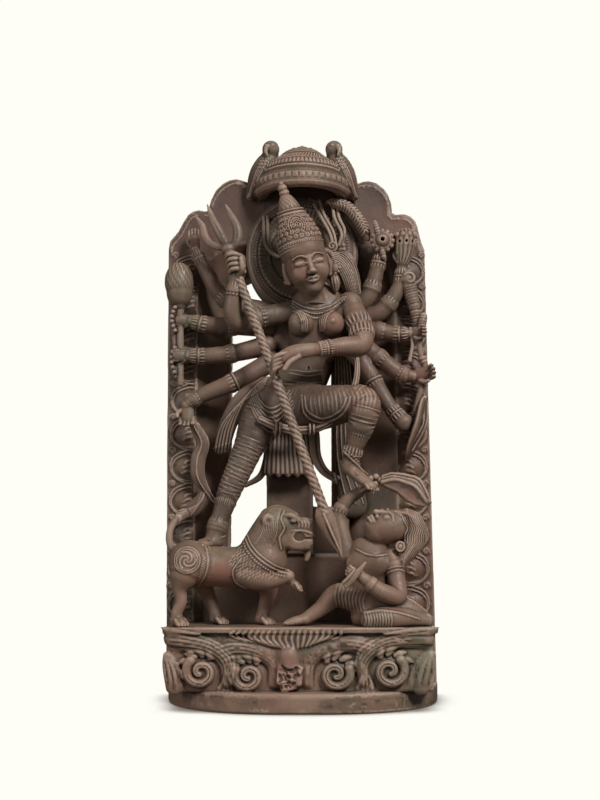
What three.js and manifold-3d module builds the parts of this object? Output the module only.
// A ten-armed goddess slaying a demon, carved in one block of soapstone together with
// her lion, the demon, a lobed back frame, an umbrella canopy, a scrolled plinth and a
// round-fronted foot. Millimetres, +Z up, the viewer stands on the -Y side. The origin
// is the middle of the underside.
import * as THREE from 'three';
import { mergeVertices } from 'three/addons/utils/BufferGeometryUtils.js';
import Module from 'manifold-3d';

const wasm = await Module();
wasm.setup();

// Driving dimensions
const FOOT = { height: 25, left: 178, right: 186, front: -122, widest: 60, corner: 2.6 };
const BACK = 85;
const PLINTH = { top: 103, half: 166, front: -92, lip: 7, lipFront: -103, lipHalf: 171 };
const FRAME = { front: 10, left: -179, right: 183, cheekLeft: -143, cheekRight: 132,
  shoulder: [-186, 629] };
const RECESS = { floor: 100, top: 630, back: 55, left: -103, right: 60, crown: 70,
  slopeFrom: 300, slope: 26 };
const THROUGH = { left: -98, right: 45, bottom: 195, top: 598 };
const LOW_WALL = { half: 150, front: 22, top: 195, rightTop: 256, rightFront: 30 };
const FAN = { left: -84, width: 128, drop: 14, petals: 10 };
const PILLAR = { left: -46, right: 18, top: 306, front: 15 };
const CANOPY = { x: 3, y: 8, rim: 698, radius: 70, apex: 772 };
const HALO = { x: 3, z: 612, halfWide: 80, halfHigh: 86, front: 6, back: 50, petals: 14 };
const CURL = { first: 108, pitch: 46, count: 11, rise: 5 };
const STONE = { colour: 0x6e584e, roughness: 0.72, metalness: 0 };

const FRONT = new THREE.Vector3(0, -1, 0);
const UP = new THREE.Vector3(0, 0, 1);
const ACROSS = new THREE.Vector3(1, 0, 0);
const SINK = 4;

// Volutes on the plinth: x, z, radius, sense of turning and the angle where the tail starts
const VOLUTES = [[-123, 50, 28, 1, 1.9], [-64, 47, 25, 1, 1.9], [46, 47, 27, -1, 1.2],
  [110, 51, 29, -1, 1.2]];

// Leaves on the plinth, as x and z from root to tip
const LEAVES = [
  [[-20, 58], [-62, 74], [-118, 84], [-164, 92]], [[-92, 30], [-108, 62], [-140, 78], [-166, 84]],
  [[-8, 58], [40, 76], [96, 86], [150, 92]],
  [[78, 30], [86, 60], [120, 80], [160, 86]],
];

// The arms behind her: shoulder, elbow, forearm and wrist with their radii, then palm and tips
const REAR_ARMS = [
  { path: [[-40, 2, 526, 14], [-104, -4, 545, 12], [-133, -6, 588, 10], [-146, -8, 614, 8]],
    fingers: [[-148, -10, 622], [-146, -18, 636]], size: 9, across: ACROSS },
  { path: [[-46, 2, 506, 14], [-92, -5, 506, 12], [-132, -8, 508, 11], [-150, -8, 512, 8]],
    fingers: [[-160, -12, 512], [-168, -20, 514]], size: 10 },
  { path: [[-46, 2, 480, 14], [-90, -6, 468, 12], [-130, -10, 463, 11], [-152, -12, 463, 8]],
    fingers: [[-162, -14, 462], [-168, -20, 462]], size: 10 },
  { path: [[-38, 2, 458, 14], [-84, -8, 430, 13], [-137, -13, 406, 10], [-154, -16, 394, 8]],
    fingers: [[-158, -20, 380], [-148, -26, 360]], size: 12, across: ACROSS },
  { path: [[74, 2, 528, 13], [94, -5, 546, 12], [108, -8, 590, 10], [112, -10, 612, 8]],
    fingers: [[112, -12, 618], [116, -20, 624]], size: 10 },
  { path: [[82, 2, 516, 13], [112, -6, 526, 12], [138, -8, 562, 10], [142, -10, 590, 9]] },
  { path: [[78, 2, 503, 13], [102, -5, 500, 12], [132, -8, 494, 11], [150, -12, 494, 8]],
    fingers: [[160, -14, 496], [173, -20, 502]], size: 10 },
  { path: [[76, 2, 490, 13], [100, -8, 468, 12], [138, -12, 438, 11], [154, -14, 434, 8]],
    fingers: [[164, -16, 438], [174, -20, 440]], size: 11 },
  { path: [[70, 2, 474, 13], [86, -8, 454, 12], [124, -14, 390, 10], [138, -18, 372, 12]] },
];

// A closed three.js geometry as a solid that can be joined and cut
function solid(geometry) {
  geometry.deleteAttribute('normal');
  geometry.deleteAttribute('uv');
  const merged = mergeVertices(geometry, 1e-3);
  const place = merged.attributes.position;
  const index = merged.index.array;
  const faces = [];
  let volume = 0;
  const corner = [new THREE.Vector3(), new THREE.Vector3(), new THREE.Vector3()];
  for (let i = 0; i < index.length; i += 3) {
    const [a, b, c] = [index[i], index[i + 1], index[i + 2]];
    if (a === b || b === c || c === a) continue;
    faces.push(a, b, c);
    corner.forEach((point, k) => point.fromBufferAttribute(place, [a, b, c][k]));
    volume += corner[0].dot(corner[1].clone().cross(corner[2]));
  }
  if (volume < 0) faces.reverse();
  const mesh = new wasm.Mesh({
    numProp: 3,
    vertProperties: new Float32Array(place.array),
    triVerts: new Uint32Array(faces),
  });
  mesh.merge();
  return new wasm.Manifold(mesh);
}

function joined(solids) {
  return solids.reduce((sum, next) => sum.add(next));
}

// Cross-sections strung on a line: each ring has a centre, two half axes and a radius
function rings(list, sides, flutes = 0, fluteDepth = 0) {
  const profile = list.map((ring, i) => new THREE.Vector2(ring.radius, i));
  const geometry = new THREE.LatheGeometry(profile, sides);
  const place = geometry.attributes.position;
  for (let i = 0; i < place.count; i++) {
    const ring = list[Math.round(place.getY(i))];
    const angle = Math.atan2(place.getX(i), place.getZ(i));
    const groove = 1 - fluteDepth * (0.5 - 0.5 * Math.cos(flutes * angle));
    const point = ring.centre.clone();
    point.addScaledVector(ring.side, place.getX(i) * groove);
    point.addScaledVector(ring.depth, place.getZ(i) * groove);
    place.setXYZ(i, point.x, point.y, point.z);
  }
  return solid(geometry);
}

// A limb, rope, fold or body: stations are [x, y, z, radius], joined by a smooth curve.
// flat thins it towards the viewer, folds raises that many ring folds, and twist turns
// its section by that many turns from end to end.
function limb(stations, options = {}) {
  const { sides = 6, steps = 2 * stations.length, flat = 1, folds = 0, foldRise = 0,
    twist = 0, flutes = 0, fluteDepth = 0, round = 0.55, facing = FRONT } = options;
  const curve = new THREE.CatmullRomCurve3(
    stations.map(([x, y, z]) => new THREE.Vector3(x, y, z)), false, 'centripetal');
  const count = folds ? 2 * folds : steps;
  const list = [];
  for (let i = 0; i <= count; i++) {
    const t = i / count;
    const along = t * (stations.length - 1);
    const low = Math.min(Math.floor(along), stations.length - 2);
    const mix = along - low;
    const radius = stations[low][3] * (1 - mix) + stations[low + 1][3] * mix;
    const raised = folds && i % 2 ? foldRise : 0;
    const tangent = curve.getTangent(t);
    const side = tangent.clone().cross(facing);
    if (side.length() < 0.2) side.copy(tangent).cross(UP);
    side.normalize().applyAxisAngle(tangent, twist * 2 * Math.PI * t);
    const depth = side.clone().cross(tangent).normalize().multiplyScalar(flat);
    list.push({ centre: curve.getPoint(t), side, depth, radius: radius + raised, tangent });
  }
  const [first, last] = [list[0], list[count]];
  const head = first.centre.clone().addScaledVector(first.tangent, -round * first.radius);
  const tail = last.centre.clone().addScaledVector(last.tangent, round * last.radius);
  return rings([{ ...first, centre: head, radius: 0 }, ...list,
    { ...last, centre: tail, radius: 0 }], sides, flutes, fluteDepth);
}

function blob([x, y, z], [halfX, halfY, halfZ], { tilt = 0, turn = 0, round = 6 } = {}) {
  const geometry = new THREE.SphereGeometry(1, round, Math.max(4, Math.round(round * 0.7)));
  geometry.rotateX(Math.PI / 2);
  geometry.scale(halfX, halfY, halfZ);
  geometry.rotateZ(THREE.MathUtils.degToRad(turn));
  geometry.rotateY(THREE.MathUtils.degToRad(tilt));
  geometry.translate(x, y, z);
  return solid(geometry);
}

// A flat outline in x and z, as deep as from front to back
function plate(outline, front, back, divisions = 8) {
  const shape = outline instanceof THREE.Shape ? outline
    : new THREE.Shape(outline.map(([x, z]) => new THREE.Vector2(x, z)));
  const geometry = new THREE.ExtrudeGeometry(shape,
    { depth: back - front, bevelEnabled: false, curveSegments: divisions });
  geometry.rotateX(Math.PI / 2);
  geometry.translate(0, back, 0);
  return solid(geometry);
}

// A flat outline in x and y, as high as from bottom to top
function slab(outline, bottom, top) {
  const shape = new THREE.Shape(outline.map(([x, y]) => new THREE.Vector2(x, y)));
  const geometry = new THREE.ExtrudeGeometry(shape,
    { depth: top - bottom, bevelEnabled: false });
  geometry.translate(0, 0, bottom);
  return solid(geometry);
}

function block(x0, x1, y0, y1, z0, z1) {
  const geometry = new THREE.BoxGeometry(x1 - x0, y1 - y0, z1 - z0);
  geometry.translate((x0 + x1) / 2, (y0 + y1) / 2, (z0 + z1) / 2);
  return solid(geometry);
}

// A spiral band standing on an upright face; its tail leaves at the angle start
function scroll(x, z, radius, { turns, band, face, rise, start = 0, hand = 1, steps = 7 }) {
  const outer = [];
  const inner = [];
  for (let i = 0; i <= steps; i++) {
    const t = i / steps;
    const angle = start + hand * turns * 2 * Math.PI * t;
    const reach = radius * (1 - 0.72 * t);
    const width = band * (1 - 0.35 * t);
    outer.push([x + reach * Math.cos(angle), z + reach * Math.sin(angle)]);
    const near = reach - width;
    inner.unshift([x + near * Math.cos(angle), z + near * Math.sin(angle)]);
  }
  return plate([...outer, ...inner], face - rise, face + SINK);
}

// The foot: a low slab with a round front
function foot() {
  const outline = [[FOOT.right, BACK], [-FOOT.left, BACK]];
  const steps = 18;
  for (let i = 0; i <= steps; i++) {
    const angle = Math.PI * (1 + i / steps);
    const [c, s] = [Math.cos(angle), Math.sin(angle)];
    const half = c < 0 ? FOOT.left : FOOT.right;
    const x = half * Math.sign(c) * Math.abs(c) ** (2 / FOOT.corner);
    const y = FOOT.widest - (FOOT.widest - FOOT.front) * Math.abs(s) ** (2 / FOOT.corner);
    outline.push([x, y]);
  }
  return slab(outline, 0, FOOT.height);
}

// The plinth, with four volutes, leaves that sweep up to the corners and a fan of petals
function plinth() {
  const { top, half, lip, lipHalf, lipFront, front: face } = PLINTH;
  const lipOutline = [[-lipHalf, lipFront + 3], [14 - lipHalf, lipFront], [lipHalf - 12, lipFront],
    [lipHalf + 1, lipFront + 3], [lipHalf - 4, FRAME.front + SINK], [4 - lipHalf, FRAME.front + SINK]];
  const solids = [
    block(-half, half, face, LOW_WALL.front, FOOT.height - SINK, top - 2),
    slab(lipOutline, top - lip, top),
    blob([-16, face - 4, 43], [17, 15, 16], { round: 6 }),
  ];
  for (const [x, z, radius, hand, start] of VOLUTES) {
    solids.push(scroll(x, z, radius, { turns: 1.2, band: 11, face, rise: 15, start, hand }));
  }
  for (const path of LEAVES) {
    const stations = path.map(([x, z], i) => [x, face - 5 - 2 * i, z, 9 - 1.4 * i]);
    solids.push(limb(stations, { sides: 4, steps: 2, flat: 0.9 }));
  }
  const fan = [];
  for (let i = 0; i <= 2 * FAN.petals; i++) {
    const t = i / (2 * FAN.petals);
    const droop = FAN.drop * Math.sin(Math.PI * (0.08 + 0.84 * t)) + (i % 2 ? 9 : 0);
    fan.push([FAN.left + FAN.width * t + (i % 2 ? 4 : 0), top - lip - droop]);
  }
  solids.push(plate([...fan, [FAN.left + FAN.width, top - lip + 1], [FAN.left, top - lip + 1]],
    face - 9, face + SINK));
  return solids;
}

// The lobed outline of the back frame, up the left side and down the right
function frameOutline() {
  const shape = new THREE.Shape();
  const thru = (...points) => shape.splineThru(points.map(([x, z]) => new THREE.Vector2(x, z)));
  shape.moveTo(FRAME.left, FOOT.height - SINK);
  shape.lineTo(...FRAME.shoulder);
  thru([-176, 641], [-160, 669], [-144, 678], [-130, 677]);
  thru([-123, 702], [-104, 721], [-86, 723], [-70, 716]);
  thru([-52, 738], [3, 752], [60, 738], [74, 714]);
  thru([90, 720], [112, 716], [127, 698], [131, 671]);
  thru([147, 673], [161, 665], [168, 643], [176, 620]);
  shape.lineTo(FRAME.right, FOOT.height - SINK);
  return shape;
}

// The hollow between the two cheeks: wide in front, narrower behind
function recess() {
  const { floor, top, crown } = RECESS;
  const [left, right] = [FRAME.cheekLeft, FRAME.cheekRight];
  const outline = [[left, floor], [right, floor], [right, top - crown], [right - 14, top - 24],
    [right - 50, top], [left + 50, top], [left + 14, top - 24], [left, top - crown]];
  const shape = new THREE.Shape(outline.map(([x, z]) => new THREE.Vector2(x, z)));
  const depth = RECESS.back - FRAME.front + 2;
  const geometry = new THREE.ExtrudeGeometry(shape, { depth, bevelEnabled: false });
  geometry.rotateX(Math.PI / 2);
  geometry.translate(0, RECESS.back, 0);
  const place = geometry.attributes.position;
  const squeeze = (RECESS.right - RECESS.left) / (right - left);
  for (let i = 0; i < place.count; i++) {
    if (place.getY(i) < RECESS.back - 1) continue;
    place.setX(i, RECESS.left + (place.getX(i) - left) * squeeze);
    if (place.getZ(i) > RECESS.slopeFrom) place.setZ(i, place.getZ(i) - RECESS.slope);
  }
  return solid(geometry);
}

// The back frame: two cheeks under stepped lobes, hollowed and pierced behind the figure
function backFrame() {
  const { left, right, bottom, top } = THROUGH;
  const arch = [[left, bottom], [right, bottom], [right, top - 40], [right - 24, top - 10],
    [right - 50, top], [left + 50, top], [left + 16, top - 16], [left, top - 50]];
  const hole = plate(arch, RECESS.back - 1, BACK + 1);
  const solids = [
    plate(frameOutline(), FRAME.front, BACK, 2).subtract(recess()).subtract(hole),
    block(-LOW_WALL.half, LOW_WALL.half, LOW_WALL.front, BACK - 1, FOOT.height, LOW_WALL.top),
    block(PILLAR.left, PILLAR.right, PILLAR.front, BACK - 2, LOW_WALL.top - SINK, PILLAR.top),
    block(PILLAR.right - 2, RECESS.right + 8, LOW_WALL.rightFront, BACK - 3,
      LOW_WALL.top - SINK, LOW_WALL.rightTop),
  ];
  return [...solids, cheekScrolls(-183, 1), cheekScrolls(177, -1)];
}

// The stacked curls down one cheek: a strip along its outer edge with a hook for each curl
function cheekScrolls(edge, inward) {
  const hook = [[6, -1], [31, 9], [31, 29], [14, 31], [22, 19], [8, 12]];
  const outline = [];
  for (let k = 0; k < CURL.count; k++) {
    for (const [reach, up] of hook) outline.push([edge + inward * reach, CURL.first + CURL.pitch * k + up]);
  }
  const top = CURL.first + CURL.pitch * CURL.count;
  outline.push([edge + inward * 6, top], [edge, top], [edge, CURL.first]);
  return plate(outline, FRAME.front - CURL.rise, FRAME.front + SINK);
}

// The spine of plain stone left behind the figure, up to the shoulders of the rear arms
function spine() {
  return [
    limb([[-14, 48, 296, 32], [-10, 40, 400, 36], [16, 34, 500, 42], [12, 44, 600, 38]],
      { sides: 6, steps: 4, flat: 0.8 }),
    blob([14, 18, 505], [66, 26, 52], { round: 6 }),
  ];
}

// The umbrella over her head, in tiers, hollow underneath
function canopy() {
  const { x, y, rim, radius, apex } = CANOPY;
  const tiers = [[0, apex], [8, apex - 6], [10, apex - 12], [21, apex - 18], [30, apex - 27],
    [33, apex - 32], [46, apex - 45], [50, apex - 52], [61, apex - 60], [radius, rim + 2],
    [radius, rim - 5], [radius - 8, rim - 9], [radius - 18, rim + 2], [0, rim + 26]];
  const geometry = new THREE.LatheGeometry(tiers.map(([r, z]) => new THREE.Vector2(r, z)), 12);
  geometry.rotateX(Math.PI / 2);
  geometry.translate(x, y, 0);
  return [solid(geometry)];
}

// A bird on each shoulder of the canopy, its head tucked down
function bird(side, x) {
  return [
    limb([[x - 3 * side, -6, 752, 8], [x + 4 * side, -8, 738, 15], [x + 16 * side, -6, 722, 14],
      [x + 25 * side, -4, 704, 7], [x + 30 * side, -2, 692, 4]], { sides: 6, steps: 4 }),
    blob([x - side, -14, 759], [12, 12, 12.5], { round: 6 }),
  ];
}

// The oval nimbus behind her head, with a petal edge and a raised disc
function halo() {
  const { x, z, halfWide, halfHigh, front, back, petals } = HALO;
  const oval = (scale, count, notch) => Array.from({ length: count }, (_, i) => {
    const angle = 2 * Math.PI * i / count;
    const reach = i % 2 ? scale : scale * notch;
    return [x + halfWide * reach * Math.cos(angle), z + halfHigh * reach * Math.sin(angle)];
  });
  return [plate(oval(1, 2 * petals, 0.93), front, back), plate(oval(0.74, 14, 1), front - 5, front + SINK)];
}

// A hand: one flattened form from wrist over the palm to the finger tips, with finger grooves
function hand(wrist, palm, tip, { size = 9, across = UP } = {}) {
  const facing = new THREE.Vector3(...tip).sub(new THREE.Vector3(...wrist)).cross(across);
  return limb([[...wrist, size * 0.7], [...palm, size * 1.05], [...tip, size * 0.8]],
    { sides: 6, steps: 2, flat: 0.62, flutes: 3, fluteDepth: 0.2, facing: facing.normalize() });
}

// A bangle or anklet: a short thick collar round a limb
function bangle([x, y, z], [toX, toY, toZ], radius, length = 6) {
  const axis = new THREE.Vector3(toX - x, toY - y, toZ - z).normalize().multiplyScalar(length / 2);
  return limb([[x - axis.x, y - axis.y, z - axis.z, radius],
    [x + axis.x, y + axis.y, z + axis.z, radius]], { sides: 6, steps: 1, round: 0 });
}

// Her head, tilted to one side, with a tall tiered crown, ear ornaments and gathered hair
function head() {
  return [
    limb([[13, -49, 549, 17], [11, -47, 562, 24], [8, -45, 582, 27.5], [3, -43, 606, 28]],
      { sides: 7, steps: 3, flat: 1.02, round: 0.45 }),
    limb([[3, -43, 603, 31], [2, -43, 612, 33], [-1, -42, 618, 30], [-10, -38, 648, 23],
      [-14, -37, 658, 18], [-17, -36, 664, 20], [-19, -35, 670, 17], [-24, -34, 684, 7],
      [-26, -33, 692, 7.5]], { sides: 7, steps: 8, round: 0.7 }),
    limb([[6, -73, 590, 2.5], [9, -78, 571, 5]], { sides: 4, steps: 1 }),
    blob([11, -69, 561], [8, 5, 3.6], { round: 5 }),
    blob([-4, -68, 634], [11, 7, 14], { tilt: -14, round: 6 }),
    limb([[40, -30, 612, 6], [46, -30, 584, 8], [46, -30, 562, 9]], { sides: 5, steps: 2 }),
    limb([[-22, -34, 600, 5], [-16, -30, 562, 6]], { sides: 5, steps: 1 }),
    limb([[34, -8, 606, 20], [58, -8, 594, 20], [70, -6, 570, 18], [78, -6, 545, 9]],
      { sides: 6, steps: 3 }),
    limb([[46, -14, 618, 4.5], [40, -12, 640, 4.5], [8, 0, 690, 4]], { sides: 4, steps: 3 }),
    limb([[-36, -2, 622, 5], [-50, 1, 664, 5]], { sides: 4, steps: 1 }),
    limb([[14, -40, 556, 14], [20, -30, 540, 15], [25, -20, 526, 19]], { sides: 6, steps: 1 }),
  ];
}

// Her body: chest, narrow waist and broad hips, with breasts, necklace and hip cloth
function torso() {
  return [
    limb([[27, -12, 537, 34], [26, -13, 526, 44], [20, -14, 500, 38], [7, -13, 450, 26],
      [-2, -12, 424, 31], [-14, -10, 400, 42], [-22, -8, 376, 38]],
      { sides: 7, steps: 6, flat: 0.64, round: 0.25 }),
    blob([1, -36, 503], [17, 16, 17], { round: 6 }),
    blob([43, -36, 503], [17, 16, 17], { round: 6 }),
    limb([[-12, -27, 531, 4], [4, -38, 520, 5], [44, -38, 522, 5], [60, -26, 536, 4]],
      { sides: 4, steps: 3 }),
    limb([[-42, -24, 420, 6], [-12, -41, 404, 7], [34, -24, 416, 5]], { sides: 4, steps: 3 }),
    blob([68, -22, 541], [17, 15, 13], { round: 6 }),
  ];
}

// Her two front arms hold the trident; the other nine spread behind in two fans
function arms() {
  const solids = [
    limb([[68, -15, 535, 17], [78, -30, 508, 17], [84, -48, 474, 14.5], [58, -64, 466, 12.5],
      [38, -70, 463, 11], [30, -73, 461, 14], [20, -74, 459, 10]], { sides: 6, steps: 6 }),
    hand([22, -74, 459], [0, -79, 450], [-30, -80, 441], { size: 12 }),
    limb([[-16, -12, 524, 16], [-52, -22, 515, 15], [-90, -34, 506, 13], [-91, -41, 530, 13],
      [-87, -46, 554, 10]], { sides: 6, steps: 5 }),
    hand([-87, -46, 552], [-84, -52, 570], [-78, -56, 596], { size: 11, across: ACROSS }),
    bangle([79, -34, 502], [82, -42, 488], 20, 12),
  ];
  for (const { path, fingers, size, across } of REAR_ARMS) {
    solids.push(limb(path, { sides: 5, steps: 3 }));
    const [, , , wrist] = path;
    if (fingers) solids.push(hand(wrist.slice(0, 3), ...fingers, { size, across }));
  }
  return solids;
}

// What the rear hands hold: mace, rosary, wavy blade, discus, conch, horn, bow and shield
function attributes() {
  const disc = Array.from({ length: 12 }, (_, i) => {
    const angle = Math.PI * i / 6;
    const reach = i % 2 ? 19 : 15;
    return [113 + reach * Math.cos(angle), 622 + reach * Math.sin(angle)];
  });
  return [
    limb([[-168, -8, 586, 7], [-168, -9, 572, 20], [-167, -9, 556, 19], [-166, -8, 534, 8],
      [-164, -7, 425, 5]], { sides: 7, steps: 6, flat: 0.9 }),
    limb([[-171, -4, 474, 5], [-168, -6, 425, 5]], { sides: 4, steps: 2 }),
    limb([[-138, -14, 362, 7], [-130, -12, 338, 9], [-142, -10, 316, 10], [-136, -8, 292, 9],
      [-120, -6, 266, 4]], { sides: 4, steps: 7, flat: 0.6 }),
    plate(disc, -22, -9),
    limb([[104, -24, 650, 3], [114, -24, 598, 3]], { sides: 4, steps: 1 }),
    limb([[141, -14, 594, 9], [146, -13, 606, 15], [146, -12, 618, 12]], { sides: 6, steps: 2 }),
    limb([[150, -10, 562, 8], [156, -8, 545, 8], [162, -6, 512, 5]], { sides: 5, steps: 2 }),
    limb([[168, -14, 514, 5], [165, -14, 480, 4.5], [171, -16, 452, 4.5], [158, -14, 386, 5]],
      { sides: 4, steps: 5 }),
    limb([[170, -14, 402, 3], [160, -18, 362, 27], [144, -16, 320, 3]], { sides: 7, steps: 4, flat: 0.35,
      facing: new THREE.Vector3(0.9, -0.3, 0) }),
  ];
}

// The trident: a twisted shaft in front of her, three flame prongs and a leaf blade
function trident() {
  return [
    limb([[-98, -46, 602, 6.5], [-60, -58, 500, 6.5], [-14, -78, 372, 6.5], [34, -88, 243, 6.5]],
      { sides: 4, steps: 12, twist: 3 }),
    blob([-98, -46, 604], [10, 9, 8], { tilt: -20, round: 6 }),
    limb([[-98, -46, 604, 5], [-113, -44, 628, 6.5], [-127, -42, 668, 1.5]],
      { sides: 4, steps: 3, flat: 0.8 }),
    limb([[-101, -46, 602, 4], [-126, -44, 616, 5], [-134, -43, 630, 5], [-143, -42, 652, 1.5]],
      { sides: 4, steps: 3, flat: 0.8 }),
    limb([[-95, -46, 602, 5], [-86, -44, 622, 6.5], [-90, -43, 640, 5.5], [-102, -42, 668, 1.5]],
      { sides: 4, steps: 3, flat: 0.8 }),
    limb([[28, -87, 250, 5], [31, -88, 240, 12], [44, -90, 214, 7], [53, -92, 190, 1]],
      { sides: 5, steps: 3, flat: 0.55 }),
  ];
}

// Her legs: one stands on the lion, one is raised and set on the demon's arm
function legs() {
  return [
    limb([[-38, -12, 404, 34], [-60, -20, 366, 31], [-80, -32, 326, 24], [-95, -38, 290, 20],
      [-105, -42, 260, 17]], { sides: 6, folds: 6, foldRise: 3.5 }),
    limb([[-103, -42, 266, 16], [-111, -44, 244, 13], [-112, -46, 222, 14], [-112, -48, 208, 12]],
      { sides: 6, steps: 3 }),
    limb([[-104, -44, 208, 12], [-118, -56, 206, 11], [-134, -66, 203, 7]],
      { sides: 6, steps: 2, flat: 0.8, facing: UP }),
    limb([[-6, -14, 394, 34], [36, -44, 388, 30], [76, -68, 396, 22], [85, -74, 384, 20],
      [80, -72, 366, 21], [74, -67, 350, 17]], { sides: 6, folds: 6, foldRise: 3 }),
    limb([[74, -67, 352, 17], [69, -63, 332, 13], [66, -60, 316, 13], [66, -58, 306, 12]],
      { sides: 6, steps: 3 }),
    limb([[63, -54, 304, 12], [76, -67, 293, 11], [93, -79, 278, 7]],
      { sides: 6, steps: 2, flat: 0.8, facing: UP }),
  ];
}

// Belts, loops and hanging cloth
function drapery() {
  return [
    limb([[75, -52, 460, 4], [76, -60, 436, 4.5], [70, -74, 410, 5], [40, -64, 366, 6],
      [14, -46, 356, 6.5], [-14, -46, 356, 6.5], [-50, -48, 370, 6]], { sides: 4, steps: 8 }),
    limb([[-24, 0, 378, 34], [-22, 4, 300, 38]],
      { sides: 14, steps: 1, flat: 0.42, flutes: 7, fluteDepth: 0.16, round: 0 }),
    limb([[-52, -22, 424, 7], [-84, -24, 396, 9], [-104, -8, 352, 14]], { sides: 5, steps: 3, flat: 0.5 }),
    limb([[12, -14, 372, 5], [22, -12, 320, 5.5], [46, -4, 292, 4]], { sides: 4, steps: 4 }),
    limb([[-44, -10, 340, 5], [-48, -6, 306, 5.5], [-72, 0, 286, 4]], { sides: 4, steps: 4 }),
    limb([[56, 10, 500, 8], [62, 18, 440, 10], [64, 34, 330, 13]], { sides: 5, steps: 3, flat: 0.6 }),
  ];
}

// The lion: turned to the right, mouth open, one forepaw raised
function lion() {
  return [
    limb([[-140, -62, 177, 25], [-112, -60, 177, 26], [-82, -60, 176, 25], [-54, -60, 178, 28],
      [-42, -60, 192, 27]], { sides: 6, steps: 4, round: 0.7 }),
    limb([[-58, -60, 190, 26], [-46, -60, 214, 26], [-31, -62, 234, 22]], { sides: 6, steps: 2, round: 0.8 }),
    blob([-21, -62, 234], [21, 20, 20], { round: 6 }),
    limb([[-14, -62, 235, 13], [4, -62, 231, 10], [15, -62, 228, 8]], { sides: 5, steps: 1, round: 0.8 }),
    limb([[-20, -62, 213, 11], [-2, -62, 203, 8], [7, -62, 200, 6]], { sides: 5, steps: 1, round: 0.8 }),
    blob([-40, -74, 240], [6, 9, 8], { tilt: 20, round: 5 }),
    blob([-142, -68, 183], [26, 23, 27], { round: 6 }),
    scroll(-142, 187, 16, { face: -88, turns: 1.1, band: 5, rise: 5, steps: 6 }),
    limb([[-146, -74, 172, 21], [-152, -76, 140, 12], [-151, -78, 108, 9]], { sides: 5, steps: 3 }),
    limb([[-132, -44, 164, 16], [-120, -38, 136, 9], [-108, -36, 107, 9]], { sides: 5, steps: 3 }),
    limb([[-50, -46, 168, 20], [-40, -42, 138, 11], [-49, -46, 107, 9]], { sides: 5, steps: 3 }),
    limb([[-66, -76, 168, 16], [-46, -84, 161, 12], [-17, -88, 165, 9], [3, -92, 152, 6]],
      { sides: 6, steps: 4 }),
    limb([[-154, -56, 182, 9], [-168, -50, 206, 7], [-168, -40, 236, 8], [-142, -18, 257, 9],
      [-132, -2, 276, 7]], { sides: 4, steps: 5 }),
  ];
}

// The demon: kneeling at the right, head thrown back, sword arm under her foot
function demon() {
  return [
    limb([[94, -58, 122, 32], [92, -58, 146, 27], [90, -60, 172, 30], [91, -60, 194, 32]],
      { sides: 6, steps: 3, flat: 0.72, round: 0.4 }),
    limb([[96, -60, 194, 13], [106, -62, 214, 13]], { sides: 5, steps: 1 }),
    blob([110, -64, 227], [24, 22, 24], { tilt: -30, round: 6 }),
    limb([[92, -66, 242, 4], [86, -66, 230, 5]], { sides: 4, steps: 1 }),
    limb([[116, -58, 248, 13], [142, -54, 240, 16], [151, -50, 216, 15], [138, -44, 182, 6]],
      { sides: 6, steps: 4 }),
    limb([[60, -60, 200, 13], [52, -56, 228, 11], [48, -52, 250, 11], [62, -50, 266, 9], [84, -54, 280, 8]],
      { sides: 5, steps: 4 }),
    limb([[82, -55, 284, 5], [112, -60, 291, 10], [146, -60, 285, 14], [162, -60, 268, 10],
      [167, -60, 256, 2]], { sides: 5, steps: 5, flat: 0.4 }),
    limb([[122, -64, 188, 14], [119, -74, 158, 13], [116, -80, 140, 12], [94, -88, 151, 10],
      [75, -92, 163, 8]], { sides: 5, steps: 4 }),
    limb([[78, -92, 160, 9], [60, -94, 184, 4]], { sides: 5, steps: 1 }),
    limb([[92, -60, 124, 24], [124, -66, 122, 22], [152, -70, 116, 15], [162, -68, 110, 9]],
      { sides: 6, folds: 4, foldRise: 2.5 }),
    limb([[150, -78, 112, 10], [88, -90, 112, 10]], { sides: 5, steps: 1 }),
    limb([[84, -54, 134, 20], [48, -56, 142, 15], [24, -62, 124, 11], [6, -66, 110, 9], [-12, -72, 107, 6]],
      { sides: 5, steps: 4 }),
  ];
}

// The stone without the specks of air that overlapping forms shut in
function withoutPockets(whole) {
  return whole.decompose().reduce((best, part) => (part.volume() > best.volume() ? part : best));
}

const carving = withoutPockets(joined([
  foot(), ...plinth(), ...backFrame(), ...spine(), ...canopy(), ...bird(-1, -41), ...bird(1, 48),
  ...halo(), ...head(), ...torso(), ...arms(), ...attributes(), ...trident(), ...legs(),
  ...drapery(), ...lion(), ...demon(),
]));

function toMesh(name, shape, finish) {
  const mesh = shape.getMesh();
  const geometry = new THREE.BufferGeometry();
  geometry.setAttribute('position', new THREE.BufferAttribute(mesh.vertProperties, mesh.numProp));
  geometry.setIndex(new THREE.BufferAttribute(mesh.triVerts, 1));
  const material = new THREE.MeshStandardMaterial(
    { color: finish.colour, roughness: finish.roughness, metalness: finish.metalness });
  const node = new THREE.Mesh(geometry, material);
  node.name = name;
  return node;
}

const idol = new THREE.Group();
idol.add(toMesh('carved_idol', carving, STONE));

export default idol;
